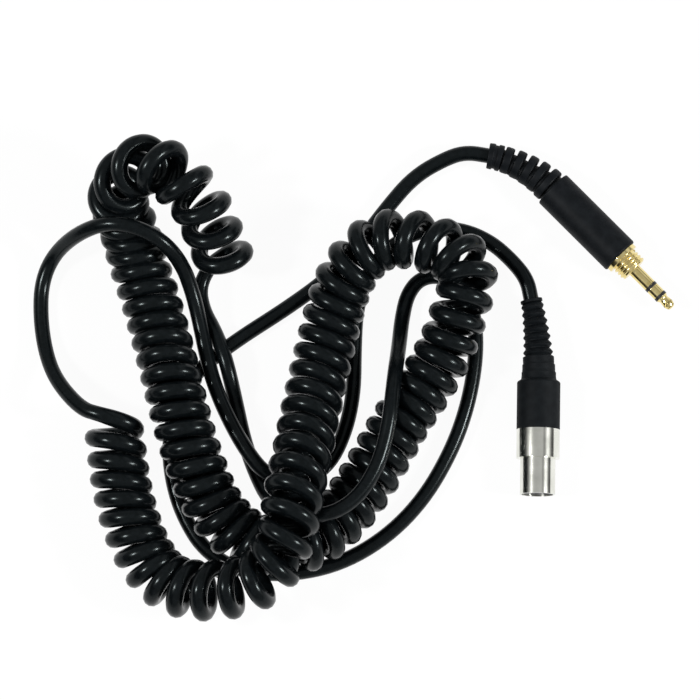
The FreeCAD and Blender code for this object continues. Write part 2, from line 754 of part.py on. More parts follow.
SOCKET_LEAD = [
    (-17.4, 16.3, 4.0), (-23.2, 21.0, 2.1), (-30.8, 23.7, 2.1), (-39.5, 24.2, 2.1), (-47.9, 21.6, 2.1),
    (-55.3, 14.2, 2.1), (-58.9, 3.7, 2.1), (-59.4, -7.4, 2.1), (-59.5, -18.7, 2.1), (-61.6, -29.0, 2.1),
    (-66.1, -38.2, 2.1), (-74.5, -43.6, 3.0), (-82.6, -41.1, 6.8), (-87.9, -34.5, 7.2), (-92.4, -26.3, 7.2),
    (-96.2, -17.4, 7.2), (-98.4, -8.7, 7.2), (-100.0, -0.8, 7.5), (-101.8, 6.6, 9.0), (-104.2, 13.1, 13.0),
    (-108.4, 18.3, 18.3), (-115.0, 21.9, 20.8), (-123.2, 23.7, 21.2), (-131.8, 21.6, 15.8), (-138.2, 17.7, 5.0),
    (-141.6, 10.5, 2.1), (-141.8, 0.5, 2.1), (-140.5, -9.1, 3.2), (-136.6, -18.6, 8.5),
]
PLUG_LEAD = [
    (-101.2, 9.0, 2.1), (-99.8, 3.4, 2.4), (-96.3, -1.7, 4.5), (-93.7, -8.1, 6.8), (-92.1, -14.3, 6.2),
    (-90.5, -21.6, 2.4), (-88.7, -31.1, 2.1), (-85.5, -39.8, 2.1), (-81.6, -48.0, 4.6), (-74.5, -52.4, 13.0),
    (-65.8, -53.2, 18.0), (-58.4, -48.6, 18.8), (-53.2, -40.2, 18.8), (-50.8, -31.5, 18.8), (-49.7, -23.9, 17.2),
    (-48.9, -15.0, 11.0), (-48.0, -6.6, 4.0), (-47.4, 1.0, 2.1), (-46.1, 7.9, 2.1), (-41.6, 12.1, 2.1),
    (-35.3, 12.4, 2.1), (-28.7, 7.9, 2.1), (-26.1, -1.3, 2.1), (-26.3, -11.3, 2.1), (-28.4, -23.2, 2.1),
    (-32.6, -35.0, 2.1), (-40.8, -47.4, 2.1), (-51.1, -58.2, 2.1), (-62.4, -66.3, 2.1), (-76.1, -70.3, 2.1),
    (-89.7, -68.4, 2.1), (-98.4, -61.9, 2.1), (-103.9, -52.6, 2.1), (-106.8, -43.7, 2.1), (-108.2, -33.7, 2.1),
    (-106.8, -22.6, 2.1), (-101.3, -13.2, 2.1), (-90.8, -5.0, 2.1), (-77.1, 3.7, 2.1), (-65.8, 11.8, 2.1),
    (-57.9, 20.8, 2.1), (-52.4, 30.2, 2.1), (-45.3, 38.2, 3.2), (-36.1, 42.7, 5.2),
]


def lead(name, label, points):
    solid, length = tube([Vector(p) for p in points], SIZES["cord_diameter"] / 2, label)
    print("%s: length %.0f mm" % (label, length))
    keep(shaped(name, solid), label)


def exit_of(place, at, length, reach):
    """Where a relief ends, and a point straight out from its end face."""
    point, along = at(length)
    return place.multVec(point), place.multVec(point + along * reach)


exit_run = SIZES["exit_run"]
socket_exit, socket_out = exit_of(boot_place, socket_relief_at, SIZES["socket_relief_length"], exit_run)
plug_exit, plug_out = exit_of(plug_place, plug_relief_at, SIZES["plug_relief_length"], exit_run)
print("exits", socket_exit, plug_exit, "curls from", curl_start, "to", curl_end)
curl_in = curl_start - curls.heading(0.0) * exit_run
curl_out = curl_end + curls.heading(curls.turns) * SIZES["curl_run"]
lead("SocketLead", "socket_lead", [socket_exit, socket_out] + SOCKET_LEAD + [curl_in, curl_start])
lead("PlugLead", "plug_lead", [curl_end, curl_out] + PLUG_LEAD + [plug_out, plug_exit])

doc.recompute()

# Every piece is checked before any is written

for thing in doc.Objects:
    if "Invalid" in thing.State or "Error" in thing.State:
        raise RuntimeError("%s failed: %s" % (thing.Name, thing.State))
for piece in PARTS:
    if piece.Shape.isNull() or not piece.Shape.isValid() or not piece.Shape.Solids:
        raise RuntimeError("%s has no valid solid" % piece.Label)

os.makedirs("parts", exist_ok=True)
whole = FreeCAD.BoundBox()
for piece in PARTS:
    piece.Shape.exportStep("parts/%s.step" % piece.Label)
    if piece.Label not in ("curly_cord", "socket_lead", "plug_lead"):
        whole.add(piece.Shape.optimalBoundingBox(False, False))
print("connectors' box", whole)
print(len(PARTS), "pieces,", sum(len(p.Shape.Solids) for p in PARTS), "solids")
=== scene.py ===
"""Coiled headphone cord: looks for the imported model, with the camera and light of the photograph.

Metres, +Z up. Both connectors lie on z = 0 and the cord lies where its solids are.
"""
import json
import math

import bmesh
import bpy
from mathutils import Matrix, Vector


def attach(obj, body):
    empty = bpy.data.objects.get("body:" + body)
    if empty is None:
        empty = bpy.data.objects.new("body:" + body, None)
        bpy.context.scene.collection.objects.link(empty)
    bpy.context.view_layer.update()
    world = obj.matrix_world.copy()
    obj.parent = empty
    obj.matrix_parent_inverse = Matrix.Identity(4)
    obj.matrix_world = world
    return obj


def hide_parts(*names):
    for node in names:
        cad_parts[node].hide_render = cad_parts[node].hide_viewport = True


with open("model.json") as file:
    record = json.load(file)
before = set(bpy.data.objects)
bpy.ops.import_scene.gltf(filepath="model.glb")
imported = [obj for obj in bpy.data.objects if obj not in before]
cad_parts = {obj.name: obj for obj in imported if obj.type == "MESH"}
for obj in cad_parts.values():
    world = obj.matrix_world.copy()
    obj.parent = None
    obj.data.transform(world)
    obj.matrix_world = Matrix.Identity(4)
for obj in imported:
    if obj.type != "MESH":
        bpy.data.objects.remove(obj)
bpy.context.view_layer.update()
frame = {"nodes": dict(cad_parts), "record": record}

MM = 0.001

# Cord: its route as it lies in the photograph

# The solid and the declared cord are 3.9 mm thick. The photograph shows the leads and curls thicker
CORD_DIAMETER = 4.05 * MM
CURL_THICKNESS = 4.6 * MM
CURL_RADIUS = 5.75 * MM
CURL_TURNS = 81.5        # counted again in the photograph; the solid has 77.5
CURL_POINTS = 12         # control points in one turn
CURL_REACH = 0.6         # spans of the route to each side that give its direction

CURL_ROUTE = [
    (-0.1232, -0.0271, 0.0080), (-0.1224, -0.0336, 0.0080), (-0.1211, -0.0434, 0.0080),
    (-0.1188, -0.0529, 0.0080), (-0.1151, -0.0623, 0.0080), (-0.1091, -0.0702, 0.0084),
    (-0.0982, -0.0729, 0.0133), (-0.0835, -0.0711, 0.0220), (-0.0773, -0.0603, 0.0273),
    (-0.0758, -0.0487, 0.0255), (-0.0736, -0.0378, 0.0195), (-0.0718, -0.0271, 0.0142),
    (-0.0697, -0.0169, 0.0110), (-0.0675, -0.0070, 0.0098), (-0.0650, 0.0028, 0.0105),
    (-0.0619, 0.0118, 0.0135), (-0.0535, 0.0206, 0.0165), (-0.0394, 0.0187, 0.0185),
    (-0.0290, 0.0124, 0.0180), (-0.0325, 0.0006, 0.0120), (-0.0364, -0.0095, 0.0095),
    (-0.0417, -0.0182, 0.0080), (-0.0472, -0.0261, 0.0080), (-0.0517, -0.0342, 0.0080),
    (-0.0567, -0.0432, 0.0080), (-0.0624, -0.0511, 0.0082), (-0.0697, -0.0583, 0.0094),
    (-0.0801, -0.0616, 0.0102), (-0.0895, -0.0581, 0.0098), (-0.0966, -0.0506, 0.0108),
    (-0.1005, -0.0416, 0.0122), (-0.1038, -0.0322, 0.0126), (-0.1063, -0.0227, 0.0124),
    (-0.1086, -0.0132, 0.0110), (-0.1111, -0.0036, 0.0086), (-0.1137, 0.0058, 0.0080),
    (-0.1169, 0.0150, 0.0083), (-0.1192, 0.0241, 0.0105), (-0.1235, 0.0324, 0.0160),
    (-0.1139, 0.0405, 0.0270), (-0.1007, 0.0301, 0.0245), (-0.0960, 0.0195, 0.0140),
    (-0.0932, 0.0137, 0.0090),
]
SOCKET_LEAD = [
    (-0.0180, 0.0159, 0.0040), (-0.0237, 0.0215, 0.0021), (-0.0314, 0.0249, 0.0021),
    (-0.0402, 0.0252, 0.0021), (-0.0487, 0.0218, 0.0021), (-0.0561, 0.0143, 0.0021),
    (-0.0595, 0.0038, 0.0021), (-0.0600, -0.0074, 0.0021), (-0.0601, -0.0186, 0.0021),
    (-0.0622, -0.0289, 0.0021), (-0.0666, -0.0382, 0.0021), (-0.0750, -0.0436, 0.0030),
    (-0.0832, -0.0412, 0.0068), (-0.0885, -0.0345, 0.0072), (-0.0930, -0.0263, 0.0072),
    (-0.0968, -0.0174, 0.0072), (-0.0990, -0.0087, 0.0072), (-0.1006, -0.0008, 0.0075),
    (-0.1024, 0.0066, 0.0090), (-0.1048, 0.0131, 0.0130), (-0.1090, 0.0181, 0.0193),
    (-0.1155, 0.0217, 0.0220), (-0.1237, 0.0235, 0.0224), (-0.1324, 0.0216, 0.0158),
    (-0.1393, 0.0178, 0.0050), (-0.1427, 0.0105, 0.0021), (-0.1428, 0.0006, 0.0021),
    (-0.1412, -0.0089, 0.0032), (-0.1380, -0.0167, 0.0075), (-0.1314, -0.0245, 0.0126),
]
PLUG_LEAD = [
    (-0.1010, 0.0094, 0.0021), (-0.0999, 0.0032, 0.0024), (-0.0969, -0.0024, 0.0045),
    (-0.0943, -0.0089, 0.0068), (-0.0927, -0.0149, 0.0062), (-0.0911, -0.0218, 0.0024),
    (-0.0891, -0.0311, 0.0021), (-0.0861, -0.0398, 0.0021), (-0.0822, -0.0481, 0.0055),
    (-0.0751, -0.0528, 0.0168), (-0.0664, -0.0534, 0.0200), (-0.0590, -0.0486, 0.0188),
    (-0.0538, -0.0402, 0.0188), (-0.0514, -0.0315, 0.0188), (-0.0503, -0.0241, 0.0190),
    (-0.0494, -0.0156, 0.0150), (-0.0482, -0.0068, 0.0055), (-0.0474, 0.0010, 0.0021),
    (-0.0459, 0.0077, 0.0021), (-0.0422, 0.0121, 0.0021), (-0.0359, 0.0124, 0.0021),
    (-0.0299, 0.0078, 0.0021), (-0.0278, -0.0013, 0.0021), (-0.0280, -0.0113, 0.0021),
    (-0.0303, -0.0231, 0.0021), (-0.0345, -0.0345, 0.0021), (-0.0417, -0.0470, 0.0021),
    (-0.0514, -0.0570, 0.0021), (-0.0635, -0.0641, 0.0021), (-0.0768, -0.0670, 0.0021),
    (-0.0905, -0.0660, 0.0021), (-0.0994, -0.0604, 0.0021), (-0.1045, -0.0522, 0.0021),
    (-0.1075, -0.0437, 0.0021), (-0.1088, -0.0337, 0.0021), (-0.1074, -0.0226, 0.0021),
    (-0.1019, -0.0132, 0.0021), (-0.0914, -0.0050, 0.0021), (-0.0777, 0.0038, 0.0021),
    (-0.0664, 0.0121, 0.0021), (-0.0585, 0.0210, 0.0021), (-0.0515, 0.0305, 0.0021),
    (-0.0441, 0.0391, 0.0029), (-0.0349, 0.0440, 0.0044),
]
# Curls at a bend stand askew: turn number, degrees of swing, degrees of lean
CURL_SET = [
    (0, 14, 0), (1, 8, 0), (4, 6, 0), (10, 0, 0), (29, 0, 0), (31, 0, 4), (33, 0, 15),
    (35, -2, 24), (36, -8, 18), (37, -14, 8), (38, -14, 0), (39, -11, 0), (41, -9, 0), (44, -6, 0),
    (48, 0, 0), (70, 0, 0), (72, 0, 15), (74, 0, 32), (75, 24, 35), (76, 12, 25), (77, 4, 13),
    (79, -4, 0), (82, -4, 0),
]

# Connector axes

SOCKET_AT = Vector((-11.84, -36.72, 5.7)) * MM
SOCKET_HEADING = math.radians(-91.0)
PLUG_AT = Vector((13.91, 13.48, 5.2)) * MM
PLUG_HEADING = math.radians(-45.5)
UP = Vector((0, 0, 1))


def on_axis(at, heading):
    """Matrix of a connector that lies level: local +Z along its heading, local +Y up."""
    ahead = Vector((math.cos(heading), math.sin(heading), 0))
    turn = Matrix((UP.cross(ahead), UP, ahead)).transposed().to_4x4()
    return Matrix.Translation(at) @ turn


socket_axis = on_axis(SOCKET_AT, SOCKET_HEADING)
plug_axis = on_axis(PLUG_AT, PLUG_HEADING)


def bent(point, relief):
    """A point of a connector, carried round with its relief where it lies behind the relief's root."""
    if relief is None or point.z > relief["back"]:
        return point
    radius = relief["length"] / relief["bend"]
    turn = (relief["back"] - point.z) / radius
    middle = Vector((-radius * (1 - math.cos(turn)), 0, relief["back"] - radius * math.sin(turn)))
    return middle + Vector((math.cos(turn), 0, -math.sin(turn))) * point.x + Vector((0, point.y, 0))


# Strain reliefs: the root's place and the length along the axis, and how far the relief bends
SOCKET_RELIEF = {"back": -20.8 * MM, "length": 21.5 * MM, "bend": math.radians(12)}
PLUG_RELIEF = {"back": -30.6 * MM, "length": 19.5 * MM, "bend": math.radians(36)}


# Materials

MOTTLE_FROM = 0.35
MOTTLE_TO = 0.65
GRAIN_CONTRAST = 0.2


def material(name, colour, roughness, metallic=0.0, specular=0.5):
    """A principled material and its nodes, with the plain values on the shader's own sockets."""
    made = bpy.data.materials.new(name)
    made.use_nodes = True
    shader = made.node_tree.nodes["Principled BSDF"]
    shader.inputs["Base Color"].default_value = (*colour, 1)
    shader.inputs["Roughness"].default_value = roughness
    shader.inputs["Metallic"].default_value = metallic
    shader.inputs["Specular IOR Level"].default_value = specular
    return made, shader


def object_noise(made, scale, detail=3.0, stretch=(1, 1, 1)):
    """Noise on the piece's own coordinates."""
    tree = made.node_tree
    where = tree.nodes.new("ShaderNodeTexCoord")
    mapping = tree.nodes.new("ShaderNodeMapping")
    noise = tree.nodes.new("ShaderNodeTexNoise")
    mapping.inputs["Scale"].default_value = stretch
    noise.inputs["Scale"].default_value = scale
    noise.inputs["Detail"].default_value = detail
    tree.links.new(where.outputs["Object"], mapping.inputs["Vector"])
    tree.links.new(mapping.outputs["Vector"], noise.inputs["Vector"])
    return noise.outputs["Fac"]


def spread(made, value, low, high, socket):
    """A 0 to 1 value mapped onto one of the shader's sockets."""
    tree = made.node_tree
    span = tree.nodes.new("ShaderNodeMapRange")
    span.inputs["To Min"].default_value = low
    span.inputs["To Max"].default_value = high
    tree.links.new(value, span.inputs["Value"])
    tree.links.new(span.outputs["Result"], socket)


def mottle(made, value, dark, light, socket):
    """A 0 to 1 value mapped onto a blend of two colours."""
    tree = made.node_tree
    ramp = tree.nodes.new("ShaderNodeValToRGB")
    ramp.color_ramp.elements[0].color = (*dark, 1)
    ramp.color_ramp.elements[1].color = (*light, 1)
    ramp.color_ramp.elements[0].position = MOTTLE_FROM
    ramp.color_ramp.elements[1].position = MOTTLE_TO
    tree.links.new(value, ramp.inputs["Fac"])
    tree.links.new(ramp.outputs["Color"], socket)


def bump(made, shader, value, height, strength):
    """A 0 to 1 value as fine relief of a height in metres."""
    tree = made.node_tree
    relief = tree.nodes.new("ShaderNodeBump")
    relief.inputs["Distance"].default_value = height
    relief.inputs["Strength"].default_value = strength
    tree.links.new(value, relief.inputs["Height"])
    tree.links.new(relief.outputs["Normal"], shader.inputs["Normal"])


def jacket_material():
    """Glossy black cord jacket with faint unevenness from the extruder."""
    made, shader = material("cord_jacket", (0.003, 0.004, 0.0045), 0.2, specular=0.15)
    shader.inputs["Specular Tint"].default_value = (0.88, 1.0, 1.0, 1)
    wave = object_noise(made, 260.0)
    spread(made, wave, 0.18, 0.27, shader.inputs["Roughness"])
    cloud = object_noise(made, 900.0)
    mottle(made, cloud, (0.0018, 0.0026, 0.003), (0.0034, 0.0046, 0.0054), shader.inputs["Base Color"])
    bump(made, shader, object_noise(made, 420.0, detail=2.0), height=0.04 * MM, strength=0.4)
    return made


def rubber_material():
    """Matt charcoal moulding with a fine grain."""
    made, shader = material("boot_rubber", (0.0036, 0.0048, 0.0058), 0.62, specular=0.09)
    grain = object_noise(made, 5200.0, detail=4.0)
    cloud = object_noise(made, 500.0)
    mottle(made, cloud, (0.0026, 0.0036, 0.0046), (0.0052, 0.0068, 0.008), shader.inputs["Base Color"])
    spread(made, grain, 0.52, 0.72, shader.inputs["Roughness"])
    bump(made, shader, grain, height=0.03 * MM, strength=0.8)
    return made


def barrel_material():
    """Fine matt finish of the moulded barrel."""
    made, shader = material("barrel_plastic", (0.004, 0.005, 0.0062), 0.5, specular=0.1)
    grain = object_noise(made, 6800.0, detail=4.0)
    cloud = object_noise(made, 420.0)
    mottle(made, cloud, (0.0028, 0.0038, 0.005), (0.0056, 0.007, 0.0086), shader.inputs["Base Color"])
    spread(made, grain, 0.42, 0.6, shader.inputs["Roughness"])
    bump(made, shader, grain, height=0.02 * MM, strength=0.7)
    return made


def nickel_material(name="nickel", roughness=0.14):
    """Plated shell: faint turning marks round the axis and soft cloudiness."""
    made, shader = material(name, (0.8, 0.8, 0.74), roughness, metallic=1.0)
    cloud = object_noise(made, 220.0)
    turning = object_noise(made, 900.0, detail=2.0, stretch=(0.02, 6.0, 0.02))
    spread(made, cloud, roughness - 0.04, roughness + 0.06, shader.inputs["Roughness"])
    mottle(made, cloud, (0.75, 0.755, 0.69), (0.85, 0.855, 0.79), shader.inputs["Base Color"])
    bump(made, shader, turning, height=0.02 * MM, strength=0.35)
    return made


def gold_material():
    """Thin gold plate, a little uneven in colour and shine."""
    made, shader = material("gold", (0.86, 0.7, 0.3), 0.16, metallic=1.0)
    cloud = object_noise(made, 700.0)
    spread(made, cloud, 0.14, 0.24, shader.inputs["Roughness"])
    mottle(made, cloud, (0.82, 0.66, 0.27), (0.9, 0.76, 0.37), shader.inputs["Base Color"])
    bump(made, shader, object_noise(made, 2600.0, detail=2.0), height=0.01 * MM, strength=0.3)
    return made


def plain_plastic(name, colour, roughness=0.45):
    """Plastic of one colour with a fine grain."""
    made, shader = material(name, colour, roughness)
    grain = object_noise(made, 3000.0)
    darker = tuple(c * (1 - GRAIN_CONTRAST) for c in colour)
    lighter = tuple(c * (1 + GRAIN_CONTRAST) for c in colour)
    mottle(made, grain, darker, lighter, shader.inputs["Base Color"])
    bump(made, shader, grain, height=0.01 * MM, strength=0.5)
    return made


def clamp_material():
    """Crimped steel, scuffed by the tool."""
    made, shader = material("clamp_metal", (0.55, 0.54, 0.52), 0.35, metallic=1.0)
    scratch = object_noise(made, 1500.0)
    spread(made, scratch, 0.25, 0.5, shader.inputs["Roughness"])
    bump(made, shader, scratch, height=0.01 * MM, strength=0.5)
    return made


MATERIALS = {
    "cord_jacket": jacket_material(),
    "boot_rubber": rubber_material(),
    "barrel_plastic": barrel_material(),
    "nickel": nickel_material(),
    "nickel_latch": nickel_material("nickel_latch", 0.2),
    "gold": gold_material(),
    "socket_plastic": plain_plastic("socket_plastic", (0.02, 0.02, 0.022)),
    "plug_insulation": plain_plastic("plug_insulation", (0.012, 0.012, 0.012), 0.35),
    "core_plastic": plain_plastic("core_plastic", (0.42, 0.05, 0.04)),
    "clamp_metal": clamp_material(),
}

# Every solid takes the material of its slot
for entry in frame["record"]["subparts"]:
    mesh = frame["nodes"][entry["node"]].data
    mesh.materials.clear()
    mesh.materials.append(MATERIALS[entry["material_slot"]])


# Turned and moulded pieces

RING_STEPS = 96
EDGE_STEPS = 4
EDGE_LEAD = 1.25
STEP_SLOPE = 0.1
SAME_POINT = 1e-7
AT_ORIGIN = Matrix.Identity(4)


def eased(outline):
    """An outline's points with rounded corners. A corner is (place along the axis, radius, size of edge)."""
    made = []
    for k, (height, radius, edge) in enumerate(outline):
        here = Vector((height, radius))
        if not edge:
            made.append(here)
            continue
        before = (Vector(outline[k - 1][:2]) - here).normalized() * edge
        after = (Vector(outline[(k + 1) % len(outline)][:2]) - here).normalized() * edge
        made.append(here + before * EDGE_LEAD)
        for step in range(EDGE_STEPS + 1):
            share = step / EDGE_STEPS
            made.append(here + before * (1 - share) ** 2 + after * share ** 2)
        made.append(here + after * EDGE_LEAD)
    return made


def swung(name, outline, axis, hollow=True, relief=None):
    """A turned piece: its outline in mm swung about a connector's axis, and bent with its relief."""
    form = bmesh.new()
    rings = []
    for row in eased(outline):
        ring = []
        for k in range(RING_STEPS):
            turn = 2 * math.pi * k / RING_STEPS
            point = Vector((row.y * math.cos(turn), row.y * math.sin(turn), row.x)) * MM
            ring.append(form.verts.new(axis @ bent(point, relief)))
        rings.append(ring)
    pairs = list(zip(rings, rings[1:]))
    if hollow:
        pairs.append((rings[-1], rings[0]))
    for low, high in pairs:
        for k in range(RING_STEPS):
            after = (k + 1) % RING_STEPS
            form.faces.new((low[k], low[after], high[after], high[k]))
    bmesh.ops.remove_doubles(form, verts=form.verts, dist=SAME_POINT)
    bmesh.ops.recalc_face_normals(form, faces=form.faces)
    mesh = bpy.data.meshes.new(name)
    form.to_mesh(mesh)
    form.free()
    return mesh


def dressed(name, meshes, slot, body="cord", node=None):
    """One finished piece of its meshes, in the place of a node."""
    form = bmesh.new()
    for mesh in meshes:
        form.from_mesh(mesh)
        bpy.data.meshes.remove(mesh)
    whole = bpy.data.meshes.new(name)
    form.to_mesh(whole)
    form.free()
    whole.materials.clear()
    whole.materials.append(MATERIALS[slot])
    for face in whole.polygons:
        face.material_index = 0
        face.use_smooth = True
    piece = bpy.data.objects.new(name, whole)
    bpy.context.scene.collection.objects.link(piece)
    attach(piece, body)
    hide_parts(node or name)


# Ribs and thread, laid out by nodes

def node_tree(name, inputs):
    """A node group with a geometry input and output, and named inputs for its sizes."""
    tree = bpy.data.node_groups.new(name, "GeometryNodeTree")
    tree.interface.new_socket("Geometry", in_out="INPUT", socket_type="NodeSocketGeometry")
    for label, kind in inputs:
        tree.interface.new_socket(label, in_out="INPUT", socket_type=kind)
    tree.interface.new_socket("Geometry", in_out="OUTPUT", socket_type="NodeSocketGeometry")
    return tree, tree.nodes.new("NodeGroupInput").outputs, tree.nodes.new("NodeGroupOutput").inputs


def feed(tree, socket, value):
    """Sets an input to another node's output or to a plain value."""
    if isinstance(value, bpy.types.NodeSocket):
        tree.links.new(value, socket)
    else:
        socket.default_value = value


def calc(tree, operation, first, second=0.0):
    """The result of one sum on two values."""
    node = tree.nodes.new("ShaderNodeMath")
    node.operation = operation
    feed(tree, node.inputs[0], first)
    feed(tree, node.inputs[1], second)
    return node.outputs[0]


def vector_of(tree, x, y, z):
    """A vector of three values."""
    node = tree.nodes.new("ShaderNodeCombineXYZ")
    for socket, value in zip(node.inputs, (x, y, z)):
        feed(tree, socket, value)
    return node.outputs[0]


def finish_tree(tree, geometry, material_socket, out):
    """Ends a tree with real geometry that carries its material."""
    real = tree.nodes.new("GeometryNodeRealizeInstances")
    coat = tree.nodes.new("GeometryNodeSetMaterial")
    tree.links.new(geometry, real.inputs["Geometry"])
    tree.links.new(real.outputs["Geometry"], coat.inputs["Geometry"])
    tree.links.new(material_socket, coat.inputs["Material"])
    tree.links.new(coat.outputs["Geometry"], out["Geometry"])


def relief_ribs_tree():
    """Copies one rib of radius 1 along a bent relief, each scaled to the relief's taper."""
    tree, given, out = node_tree("relief_ribs", [
        ("Count", "NodeSocketInt"), ("Pitch", "NodeSocketFloat"), ("Start", "NodeSocketFloat"),
        ("First radius", "NodeSocketFloat"), ("Last radius", "NodeSocketFloat"),
        ("Back", "NodeSocketFloat"), ("Length", "NodeSocketFloat"), ("Bend", "NodeSocketFloat"),
        ("Material", "NodeSocketMaterial"),
    ])
    index = tree.nodes.new("GeometryNodeInputIndex").outputs[0]
    middle = calc(tree, "ADD", index, 0.5)
    distance = calc(tree, "ADD", given["Start"], calc(tree, "MULTIPLY", middle, given["Pitch"]))
    radius = calc(tree, "DIVIDE", given["Length"], given["Bend"])
    turn = calc(tree, "DIVIDE", distance, radius)
    aside = calc(tree, "MULTIPLY", radius, calc(tree, "SUBTRACT", calc(tree, "COSINE", turn), 1.0))
    fall = calc(tree, "MULTIPLY", radius, calc(tree, "SINE", turn))
    height = calc(tree, "SUBTRACT", given["Back"], fall)
    share = calc(tree, "DIVIDE", middle, given["Count"])
    growth = calc(tree, "SUBTRACT", given["Last radius"], given["First radius"])
    size = calc(tree, "ADD", given["First radius"], calc(tree, "MULTIPLY", share, growth))
    line = tree.nodes.new("GeometryNodeMeshLine")
    place = tree.nodes.new("GeometryNodeSetPosition")
    copies = tree.nodes.new("GeometryNodeInstanceOnPoints")
    tree.links.new(given["Count"], line.inputs["Count"])
    tree.links.new(line.outputs["Mesh"], place.inputs["Geometry"])
    tree.links.new(vector_of(tree, aside, 0.0, height), place.inputs["Position"])
    tree.links.new(place.outputs["Geometry"], copies.inputs["Points"])
    tree.links.new(given["Geometry"], copies.inputs["Instance"])
    tree.links.new(vector_of(tree, 0.0, turn, 0.0), copies.inputs["Rotation"])
    tree.links.new(vector_of(tree, size, size, 1.0), copies.inputs["Scale"])
    finish_tree(tree, copies.outputs["Instances"], given["Material"], out)
    return tree


THREAD_STEPS = 48
RIDGE_STEPS = 10


def thread_tree():
    """A rounded ridge that winds round a core."""
    tree, given, out = node_tree("thread_ridge", [
        ("Turns", "NodeSocketFloat"), ("Radius", "NodeSocketFloat"), ("Length", "NodeSocketFloat"),
        ("Front", "NodeSocketFloat"), ("Ridge", "NodeSocketFloat"), ("Material", "NodeSocketMaterial"),
    ])
    path = tree.nodes.new("GeometryNodeCurveSpiral")
    path.inputs["Resolution"].default_value = THREAD_STEPS
    tree.links.new(given["Turns"], path.inputs["Rotations"])
    tree.links.new(given["Radius"], path.inputs["Start Radius"])
    tree.links.new(given["Radius"], path.inputs["End Radius"])
    tree.links.new(given["Length"], path.inputs["Height"])
    ridge = tree.nodes.new("GeometryNodeCurvePrimitiveCircle")
    ridge.inputs["Resolution"].default_value = RIDGE_STEPS
    tree.links.new(given["Ridge"], ridge.inputs["Radius"])
    wind = tree.nodes.new("GeometryNodeCurveToMesh")
    wind.inputs["Fill Caps"].default_value = True
    tree.links.new(path.outputs["Curve"], wind.inputs["Curve"])
    tree.links.new(ridge.outputs["Curve"], wind.inputs["Profile Curve"])
    shift = tree.nodes.new("GeometryNodeTransform")
    tree.links.new(wind.outputs["Mesh"], shift.inputs["Geometry"])
    tree.links.new(vector_of(tree, 0.0, 0.0, given["Front"]), shift.inputs["Translation"])
    finish_tree(tree, shift.outputs["Geometry"], given["Material"], out)
    return tree


def grown(name, seed, tree, values, axis):
    """The mesh that a node tree makes of a seed mesh, in a connector's place."""
    holder = bpy.data.objects.new(name, seed)
    bpy.context.scene.collection.objects.link(holder)
    nodes = holder.modifiers.new(name, "NODES")
    nodes.node_group = tree
    for item in tree.interface.items_tree:
        if item.in_out == "INPUT" and item.name in values:
            nodes[item.identifier] = values[item.name]
    bpy.context.view_layer.update()
    found = holder.evaluated_get(bpy.context.evaluated_depsgraph_get())
    mesh = bpy.data.meshes.new_from_object(found)
    holder.modifiers.clear()
    bpy.data.objects.remove(holder)
    bpy.data.meshes.remove(seed)
    mesh.transform(axis)
    form = bmesh.new()
    form.from_mesh(mesh)
    bmesh.ops.recalc_face_normals(form, faces=form.faces)
    form.to_mesh(mesh)
    form.free()
    return mesh


RIBS = relief_ribs_tree()
THREAD = thread_tree()


def ribs(name, outline, axis, relief, slot, count, reach, radii):
    """A row of ribs along a relief. Their outline's outer radius is 1. Reach and radii are (first, last)."""
    rib = swung(name, outline, AT_ORIGIN)
    for vertex in rib.vertices:
        vertex.co.x /= MM
        vertex.co.y /= MM
    return grown(name, rib, RIBS, {
        "Count": count, "Pitch": (reach[1] - reach[0]) / count * MM, "Start": reach[0] * MM,
        "First radius": radii[0] * MM, "Last radius": radii[1] * MM,
        "Back": relief["back"], "Length": relief["length"], "Bend": relief["bend"],
        "Material": MATERIALS[slot],
    }, axis)


# Socket boot, in mm along the socket's axis

CORD_BORE = 1.9
HOLLOW_RADIUS = 4.2
TAIL_BORE = 5.13
BODY_RADIUS = 5.7
BOOT_FRONT = -7.6
HOLLOW_FRONT = -14.0
HOLLOW_BACK = -18.6
BORE_FRONT = -19.0
BOOT_BACK = -20.2
NECK_RADIUS = 4.65
WAIST_RADIUS = 4.0
END_RADIUS = 2.9
BANDS = 3
BANDS_START = 0.15
BANDS_LENGTH = 6.3
BAND_DEPTH = 0.16
SHARP_RIBS = 7
RIB_DEPTH = 0.66
RELIEF_COLLAR = 0.8

# Outlines of one rib, with an outer radius of 1
BAND = [(-0.92, 0.93, 0), (-0.86, 1.0, 0.08), (0.86, 1.0, 0.08), (0.92, 0.93, 0)]
SHARP_RIB = [
    (-1.02, 0.76, 0), (-1.0, 0.81, 0), (-0.12, 1.0, 0.14),
    (0.12, 1.0, 0.14), (1.0, 0.81, 0), (1.02, 0.76, 0),
]


